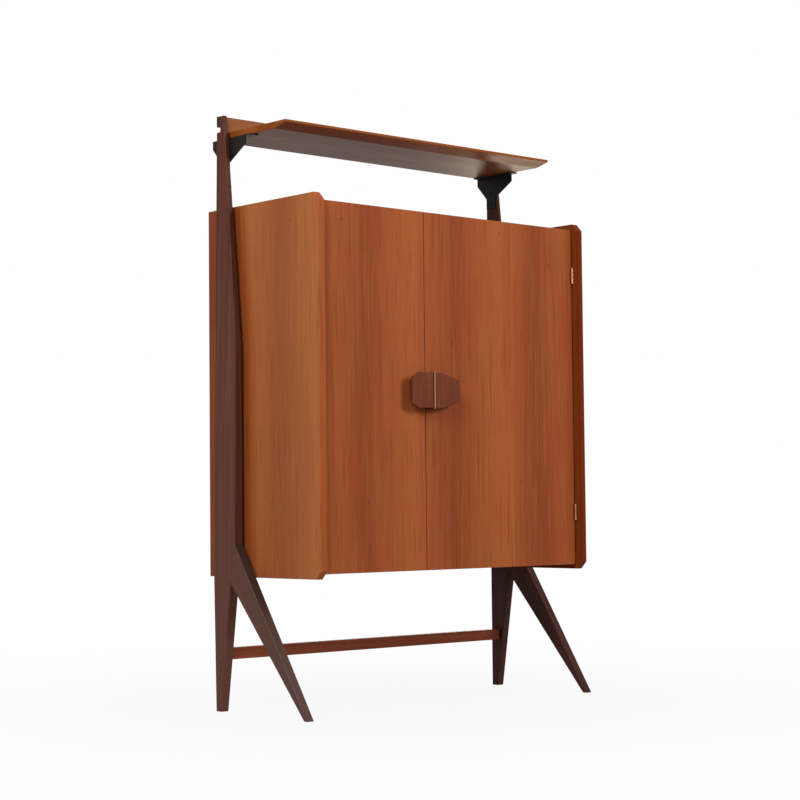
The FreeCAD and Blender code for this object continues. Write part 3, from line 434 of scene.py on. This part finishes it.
# from its waist up the left upright turns more and more to a deeper red
upright_tree = upright_wood.node_tree
upright_spot = add(upright_tree, "TexCoord", {}).outputs["Object"]
upright_height = add(upright_tree, "SeparateXYZ", {"Vector": upright_spot}).outputs["Z"]
near_top = add(upright_tree, "MapRange", {0: upright_height, 1: 0.82, 2: 1.30, 3: 0.0, 4: 0.55}).outputs[0]
redden_and_darken(upright_wood, near_top)
# painted shade: the right frame takes a darker copy of the same wood, for the shade it stands in
shaded_frame_shades = [(0.0, "#321712"), (0.35, "#3D1E16"), (0.7, "#47251B"), (1.0, "#502D21")]
right_upright_wood = solid_timber(
    "painted_shade_hardwood_upright", along="Z", lean=0.0, shades=shaded_frame_shades, line=0.009, reach=0.45,
    shine=0.45, level=0.10
)
right_leg_wood = solid_timber(
    "painted_shade_hardwood_leg", along="Z", lean=leg_lean, shades=shaded_frame_shades, line=0.009, reach=0.45,
    shine=0.45, level=0.10
)
# the stretcher is a redder length of the same wood, and painted lighter for the light that reaches it under
# the box
stretcher_lit_shades = [(0.0, "#632E20"), (0.35, "#763B25"), (0.7, "#83432B"), (1.0, "#914F34")]
stretcher_wood = solid_timber(
    "oiled_dark_hardwood_stretcher", along="X", lean=0.0, shades=stretcher_lit_shades, line=0.008, reach=0.45,
    shine=0.45, level=0.08
)
# the tenons are beech like the battens
tenon_beech = solid_timber(
    "planed_beech_tenons", along="Y", lean=0.0, shades=beech_shades, line=0.006, reach=0.20,
    shine=0.58, level=0.3
)
dress(upright_wood, "left_upright")
dress(leg_wood, "left_front_leg")
dress(right_upright_wood, "right_upright")
dress(right_leg_wood, "right_front_leg")
dress(stretcher_wood, "stretcher")
dress(tenon_beech, "leg_tenons")


# Sleeves and bolts
# Steel sleeves hold the box clear of the frames, and a hexagon bolt runs through board, sleeve and upright
# at each of the four corners.

# turned steel, darker than the zinc of the screws
bolt_steel = screw_steel("turned_steel", "#A9A69F", "#77736C")
dress(bolt_steel, "frame_spacers", "frame_bolts")


# Upper shelf and rail
# A veneered board with a long bevel under its front and side edges, and a low rail behind it that is let into
# the uprights and held by one screw at each end.

# oiled teak rubbed smoother than the rest by hands and glasses; the flat below is tinted less red, a painted
# reflection that greys it like the gleam from below
shelf_shades = [(0.0, "#934F22"), (0.3, "#88471D"), (0.6, "#7D3D19"), (0.8, "#88461D"), (1.0, "#934F22")]
shelf_teak = veneer(
    "oiled_teak_veneer_shelf", across="Y", along="X", through="Z", leaf=0.150, seam=1.256,
    shades=shelf_shades, shine=0.36, level=0.0255, tints=[("Z", -1, "#E4FFFF")], turn=(0.975, 0.995),
    relief=0.06
)
# the rail's ends are cut across the grain, where oil soaks in and turns the wood dark
rail_shades = [(0.0, "#8F542A"), (0.4, "#854A25"), (0.7, "#7B4220"), (1.0, "#8F542A")]
end_grain = [("X", -1, "#5A5A60"), ("X", 1, "#5A5A60")]
rail_teak = veneer(
    "oiled_teak_rail", across="Z", along="X", through="Y", leaf=0.080, seam=1.350,
    shades=rail_shades, shine=0.46, level=0.16, tints=end_grain
)
dress(shelf_teak, "top_shelf")
dress(rail_teak, "shelf_rail")
rail_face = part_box("shelf_rail")[1][1]
rail_end = 0.4465
rail_middle = 1.387
rail_places = [((side * rail_end, rail_face, rail_middle), (0, 1, 0), 0.5 + side) for side in (-1, 1)]
slotted_screws(
    "rail_screws", rail_places, radius=0.0030, proud=0.0003, body="cabinet", material=zinc
)


# Shelf brackets
# Folded steel plates in black stoving paint: a cranked plate screwed to the upright, with a flange along the
# underside of the shelf.

def black_paint(name):
    """Stoved paint on steel: near black with a fine orange peel, and hazy in patches."""
    material, tree, shader = blank(name)
    spot = add(tree, "TexCoord", {}).outputs["Object"]
    # orange peel of about 2 mm, twice its real size so that it can be seen at all
    peel = add(tree, "TexNoise", {"Vector": spot, "Scale": 1 / 0.002, "Detail": 1.0}).outputs["Fac"]
    haze = add(tree, "TexNoise", {"Vector": spot, "Scale": 1 / 0.025, "Detail": 3.0}).outputs["Fac"]
    mottle(tree, shader, haze, dark="#100F0E", light="#191816", rough=(0.42, 0.52), bumps=peel, relief=0.10,
           depth=0.0002)
    shader.inputs["Specular IOR Level"].default_value = 0.10
    return material


black_steel = black_paint("black_stoved_steel")
dress(black_steel, "left_bracket", "right_bracket")
plate_face = 0.438
plate_middle = 0.1325
flange_middle = 0.427
flange_face = 1.343
bracket_places = []
for side in (-1, 1):
    for height in (1.274, 1.304):
        bracket_places.append(((side * plate_face, plate_middle, height), (-side, 0, 0), height * 40))
    for depth in (0.0535, 0.1535):
        bracket_places.append(((side * flange_middle, depth, flange_face), (0, 0, -1), depth * 20))
slotted_screws(
    "bracket_screws", bracket_places, radius=0.0036, proud=0.0012, body="cabinet", material=black_steel,
)


# Door hinges
# Narrow brass butt hinges, two to a door, with the knuckles standing in front of the joint. The leaves are
# screwed against the door's edge and the side panel with countersunk brass screws.

def brass(name):
    """Drawn brass, lightly tarnished in patches."""
    material, tree, shader = blank(name)
    spot = add(tree, "TexCoord", {}).outputs["Object"]
    # drawing marks of 1.1 by 25 mm, coarser than real ones, and patches of tarnish of 12 mm
    drawn = add(tree, "VectorMath", {0: spot, 1: (900.0, 900.0, 40.0)}, operation="MULTIPLY").outputs[0]
    scratches = add(tree, "TexNoise", {"Vector": drawn, "Scale": 1.0, "Detail": 1.0}).outputs["Fac"]
    tarnish = add(tree, "TexNoise", {"Vector": spot, "Scale": 1 / 0.012, "Detail": 3.0}).outputs["Fac"]
    mottle(tree, shader, tarnish, dark="#7E543E", light="#B08062", rough=(0.40, 0.26), bumps=scratches,
           relief=0.10)
    shader.inputs["Metallic"].default_value = 1.0
    return material


hinge_brass = brass("drawn_brass")
dress(hinge_brass, "left_hinge_frame_leaves", "right_hinge_frame_leaves", "hinge_pins")
dress(hinge_brass, "left_hinge_door_leaves", "right_hinge_door_leaves")
hinge_length = 0.040
leaf_middle = -0.1735
for side, hand in ((-1, "left"), (1, "right")):
    # the frame's leaf lies further out and shows its face to the door, and the door's leaf the other way
    halves = (("frame", "cabinet", 0.4128, -side), ("door", hand + "_door", 0.4126, side))
    for holder, body, face, facing in halves:
        hinge = hand + "_hinge_" + holder
        low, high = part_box(hinge + "_leaves")
        hinge_places = []
        for foot in (low[2], high[2] - hinge_length):
            for step in (0.007, 0.020, 0.033):
                place = (side * face, leaf_middle, foot + step)
                hinge_places.append((place, (facing, 0, 0), foot * 9 + step * 70))
        slotted_screws(
            hinge + "_screws", hinge_places, radius=0.0026, proud=0.00005, body=body, material=hinge_brass,
        )


# Doors
# Two flush doors of unequal width, cut from one run of slip-matched teak veneer so that the figure carries
# across their joint. Dark bands come back at every leaf.

# oiled teak, redder and less shiny than the sides
door_shades = [(0.0, "#A4582E"), (0.12, "#9A502B"), (0.26, "#954B2A"), (0.38, "#884224"), (0.48, "#8A4425"),
               (0.58, "#974C2A"), (0.75, "#9A512B"), (1.0, "#A2572E")]
door_teak = veneer(
    "oiled_teak_veneer_doors", across="X", along="Z", through="Y", leaf=0.283, seam=-0.5835,
    shades=door_shades, shine=0.50, level=0.05
)
# painted shade: a deeper red along the hinges, where the side panels that stand proud there shade the doors
door_tree = door_teak.node_tree
door_spot = add(door_tree, "TexCoord", {}).outputs["Object"]
door_across = add(door_tree, "SeparateXYZ", {"Vector": door_spot}).outputs["X"]
from_middle = add(door_tree, "Math", {0: door_across}, operation="ABSOLUTE").outputs[0]
painted_hinge_shade = add(door_tree, "MapRange", {0: from_middle, 1: 0.372, 2: 0.411, 3: 0.0, 4: 0.48}).outputs[0]
redden_and_darken(door_teak, painted_hinge_shade)
dress(door_teak, "left_door", "right_door")


# Catches
# Brown plastic magnet catches: one for each door, screwed up under the top panel, and one inside the right
# door for the folded serving shelf. Each meets a steel strike plate on what it holds shut.

def moulded_plastic(name, light, dark):
    """Moulded plastic with a fine spark-eroded grain."""
    material, tree, shader = blank(name)
    spot = add(tree, "TexCoord", {}).outputs["Object"]
    # grain of 0.8 mm, drawn coarser than the mould's own
    specks = add(tree, "TexNoise", {"Vector": spot, "Scale": 1 / 0.0008, "Detail": 2.0}).outputs["Fac"]
    mottle(tree, shader, specks, dark, light, rough=(0.55, 0.42), bumps=specks, relief=0.20)
    shader.inputs["IOR"].default_value = 1.5
    return material


# brown plastic with a soft, even sheen
catch_plastic = moulded_plastic("brown_moulded_plastic", "#5A3A26", "#4A2E1E")
dress(catch_plastic, "door_catches", "flap_catch")
dress(zinc, "left_door_strike", "right_door_strike", "flap_strike")
catch_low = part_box("door_catches")[0]
screw_depth = catch_low[1] + 0.013
catch_places = []
for middle in (-0.134, -0.056):
    for shift in (-0.014, 0.014):
        place = (middle + shift, screw_depth, catch_low[2])
        catch_places.append((place, (0, 0, -1), middle * 30 + shift * 90))
slotted_screws(
    "catch_screws", catch_places, radius=0.0024, proud=0.0003, body="cabinet", material=zinc
)
for hand in ("left", "right"):
    low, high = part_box(hand + "_door_strike")
    middle = (low[0] + high[0]) / 2
    height = (low[2] + high[2]) / 2
    strike_places = []
    for shift in (-0.011, 0.011):
        strike_places.append(((middle + shift, high[1], height), (0, 1, 0), 0.6 + shift * 80))
    slotted_screws(
        hand + "_strike_screws", strike_places, radius=0.0021, proud=0.0001, body=hand + "_door",
        material=zinc
    )


# Handle
# One octagonal block of dark hardwood, undercut all round for the fingers and sawn in two at the joint of the
# doors, with a strip of bright aluminium on the edge that covers the joint. Screwed from inside through cups.

# close-grained dark hardwood, redder than the uprights
handle_shades = [(0.0, "#602F1F"), (0.4, "#673422"), (0.7, "#6D3824"), (1.0, "#743E29")]
handle_wood = solid_timber(
    "oiled_dark_hardwood_handle", along="Z", lean=0.0, shades=handle_shades, line=0.006, reach=0.10,
    shine=0.48, level=0.06
)
dress(handle_wood, "left_handle", "right_handle")


def brushed_aluminium(name):
    """Aluminium brushed along its length: a dull metal with fine upright lines, its warm brown colour a
    painted reflection of the wood about it.
    """
    material, tree, shader = blank(name)
    spot = add(tree, "TexCoord", {}).outputs["Object"]
    # lines of 0.3 by 33 mm, about as coarse as a hand finish
    drawn = add(tree, "VectorMath", {0: spot, 1: (3300.0, 3300.0, 30.0)}, operation="MULTIPLY").outputs[0]
    lines = add(tree, "TexNoise", {"Vector": drawn, "Scale": 1.0, "Detail": 1.0}).outputs["Fac"]
    mottle(tree, shader, lines, dark="#87604D", light="#A97E68", rough=(0.42, 0.30), bumps=lines, relief=0.08)
    shader.inputs["Metallic"].default_value = 1.0
    return material


aluminium = brushed_aluminium("brushed_aluminium")
dress(aluminium, "handle_edge_strip")
door_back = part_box("left_door")[1][1]


def screw_cups(name, middles, body):
    """Turned brass cups under the handle's screws: a flared ring spun from its section."""
    # the section's points, from the hole outwards: distance from the middle and height above the door
    section = [(0.0026, 0.0002), (0.0030, 0.0014), (0.0048, 0.0011), (0.0062, 0.0)]
    rings = bmesh.new()
    for across, height in middles:
        points = [rings.verts.new((across + out, door_back + up, height)) for out, up in section]
        edges = [rings.edges.new(pair) for pair in zip(points, points[1:])]
        bmesh.ops.spin(rings, geom=points + edges, cent=(across, door_back, height), axis=(0, 1, 0),
                       angle=math.tau, steps=24, use_merge=True)
    bmesh.ops.recalc_face_normals(rings, faces=rings.faces)
    hang(rings, name, hinge_brass, body)


for hand, across in (("left", -0.117), ("right", -0.070)):
    middles = [(across, height) for height in (0.7285, 0.7585)]
    screw_cups(hand + "_handle_cups", middles, hand + "_door")
    handle_places = [((x, door_back, z), (0, 1, 0), z * 50) for x, z in middles]
    slotted_screws(
        hand + "_handle_screws", handle_places, radius=0.0030, proud=0.0008, body=hand + "_door",
        material=hinge_brass
    )


# Serving shelf, its ledges and its arm
# Inside the right door a board folds down on two brass hinges. They sit on two beech ledges, and between the
# ledges a beech arm swings out on a steel pin in a wooden knuckle joint and carries the board.

# oiled teak like the rest of the inside, a little paler
flap_shades = [(0.0, "#A45D2D"), (0.25, "#9B5428"), (0.55, "#8E4B22"), (0.75, "#9A5327"), (1.0, "#A45D2D")]
flap_teak = veneer(
    "oiled_teak_veneer_flap", across="Z", along="X", through="Y", leaf=0.160, seam=0.700,
    shades=flap_shades, shine=0.46, level=0.20
)
# beech like the battens, rubbed a little smoother by use
ledge_beech = solid_timber(
    "planed_beech_ledges", along="X", lean=0.0, shades=beech_shades, line=0.006, reach=0.20,
    shine=0.55, level=0.3
)
dress(flap_teak, "fold_out_shelf")
dress(ledge_beech, "ledge_left", "ledge_right", "support_arm")
dress(bolt_steel, "arm_pin")
dress(hinge_brass, "flap_ledge_leaves", "flap_hinge_pins", "flap_shelf_leaves")
flap_leaf_face = -0.1426
flap_leaf_length = 0.050
from_leaf_edge = 0.0085
for half, body in (("ledge", "right_door"), ("shelf", "fold_out_shelf")):
    low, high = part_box("flap_" + half + "_leaves")
    height = low[2] + from_leaf_edge if half == "ledge" else high[2] - from_leaf_edge
    flap_places = []
    for foot in (low[0], high[0] - flap_leaf_length):
        for step in (0.008, 0.025, 0.042):
            place = (foot + step, flap_leaf_face, height)
            flap_places.append((place, (0, 1, 0), foot * 9 + step * 70))
    slotted_screws(
        "flap_" + half + "_screws", flap_places, radius=0.0026, proud=0.0001, body=body, material=hinge_brass,
    )
ledge_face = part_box("ledge_left")[1][1]
ledge_middle = 0.732
ledge_places = []
for across in (-0.040, 0.034, 0.257, 0.290, 0.366):
    ledge_places.append(((across, ledge_face, ledge_middle), (0, 1, 0), across * 40))
slotted_screws(
    "ledge_screws", ledge_places, radius=0.0034, proud=0.0003, body="right_door", material=zinc
)


# Studio floor
# A wide round floor in matt pale paint. The eye sees it white from two metres out, and nearer the legs a
# little of the paint shows through and keeps their soft shadow.

floor_shape = bmesh.new()
bmesh.ops.create_circle(floor_shape, cap_ends=True, segments=96, radius=14.0)
floor_mesh = bpy.data.meshes.new("studio_floor")
floor_shape.to_mesh(floor_mesh)
floor_shape.free()
studio_floor = bpy.data.objects.new("studio_floor", floor_mesh)
bpy.context.scene.collection.objects.link(studio_floor)


def plainly_seen(tree):
    """1 for what is seen, straight, in a gloss or through glass, and 0 for the light that falls on things."""
    rays = add(tree, "LightPath", {}).outputs
    straight = {0: rays["Is Camera Ray"], 1: rays["Is Glossy Ray"]}
    seen = add(tree, "Math", straight, operation="MAXIMUM").outputs[0]
    return add(tree, "Math", {0: seen, 1: rays["Is Transmission Ray"]}, operation="MAXIMUM").outputs[0]


floor_paint, floor_tree, floor_shader = blank("white_studio_floor")
floor_spot = add(floor_tree, "TexCoord", {}).outputs["Object"]
# roller marks of 25 mm in the roughness
roller = add(floor_tree, "TexNoise", {"Vector": floor_spot, "Scale": 1 / 0.025, "Detail": 2.0}).outputs["Fac"]
floor_rough = add(floor_tree, "MapRange", {0: roller, 3: 0.7, 4: 0.9}).outputs[0]
floor_tree.links.new(floor_rough, floor_shader.inputs["Roughness"])
floor_shader.inputs["Base Color"].default_value = linear("#8C8C8A")
floor_shader.inputs["Specular IOR Level"].default_value = 0.0
from_centre = add(floor_tree, "VectorMath", {0: floor_spot}, operation="LENGTH").outputs["Value"]
whiteness = add(floor_tree, "MapRange", {0: from_centre, 1: 0.4, 2: 2.0, 3: 0.93, 4: 1.0}).outputs[0]
floor_seen = plainly_seen(floor_tree)
share_white = add(floor_tree, "Math", {0: floor_seen, 1: whiteness}, operation="MULTIPLY").outputs[0]
white = add(floor_tree, "Emission", {"Color": (1, 1, 1, 1), "Strength": 1.0}).outputs[0]
floor_mix = add(floor_tree, "MixShader", {0: share_white, 1: floor_shader.outputs[0], 2: white}).outputs[0]
floor_tree.links.new(floor_mix, floor_tree.nodes["Material Output"].inputs["Surface"])
floor_mesh.materials.append(floor_paint)


# Lamps and white ground
# A large lamp nearly straight before the doors, a little to the right and above them, a broad fill high on
# the left and one behind on the right for the far sides. The room around them is seen white and gives less
# than half as much light.

def lamp(name, place, aim, size, power):
    """A square soft box at a place, turned towards a point."""
    light = bpy.data.lights.new(name, "AREA")
    light.shape = "SQUARE"
    light.size = size
    light.energy = power
    holder = bpy.data.objects.new(name, light)
    holder.location = place
    holder.rotation_euler = (Vector(aim) - Vector(place)).to_track_quat("-Z", "Y").to_euler()
    bpy.context.scene.collection.objects.link(holder)
    return holder


lamp("key_front", place=(1.25, -4.20, 2.40), aim=(0.0, -0.1, 0.75), size=1.2, power=105)
lamp("fill_left", place=(-3.6, -1.6, 2.90), aim=(-0.3, 0.0, 0.80), size=2.0, power=125)
lamp("rear_right", place=(3.4, 2.6, 2.60), aim=(0.2, 0.1, 0.80), size=2.0, power=120)
# two weak warm cards low on the right, out of sight, gleam in the oil under the far end of the shelf
far_end = (0.35, -0.03, 1.35)
cards = (
    lamp("card_floor", place=(1.86, 1.06, 0.30), aim=far_end, size=0.8, power=15.0),
    lamp("card_wall", place=(3.70, 2.96, 0.60), aim=far_end, size=0.9, power=10.0),
)
for card in cards:
    card.visible_camera = False
    card.visible_diffuse = False
    card.data.color = (1.0, 0.80, 0.55)

studio = bpy.data.worlds.new("white_studio")
bpy.context.scene.world = studio
studio.use_nodes = True
room_tree = studio.node_tree
room_strength = add(room_tree, "MapRange", {0: plainly_seen(room_tree), 3: 0.45, 4: 1.0}).outputs[0]
room = room_tree.nodes["Background"]
room.inputs["Color"].default_value = (1, 1, 1, 1)
room_tree.links.new(room_strength, room.inputs["Strength"])


# Camera
# It stands low on the left in front of the cabinet, looks slightly up and is tilted by half a degree, with a
# long lens.

yaw = math.radians(41.91)
pitch = math.radians(3.02)
roll = math.radians(-0.58)
camera_place = (-3.2197, -3.5737, 0.4786)
ahead = Vector((math.sin(yaw) * math.cos(pitch), math.cos(yaw) * math.cos(pitch), math.sin(pitch)))
level_right = Vector((math.cos(yaw), -math.sin(yaw), 0.0))
level_up = level_right.cross(ahead)
right = level_right * math.cos(roll) + level_up * math.sin(roll)
up = level_up * math.cos(roll) - level_right * math.sin(roll)
lens = bpy.data.cameras.new("camera")
lens.sensor_width = 36.0
lens.lens = 88.42
lens.shift_y = 0.0004
lens.clip_end = 100.0
camera = bpy.data.objects.new("camera", lens)
stand = Matrix((right, up, -ahead)).transposed().to_4x4()
camera.matrix_world = Matrix.Translation(camera_place) @ stand
bpy.context.scene.collection.objects.link(camera)
bpy.context.scene.camera = camera
bpy.context.scene.view_settings.view_transform = "Standard"
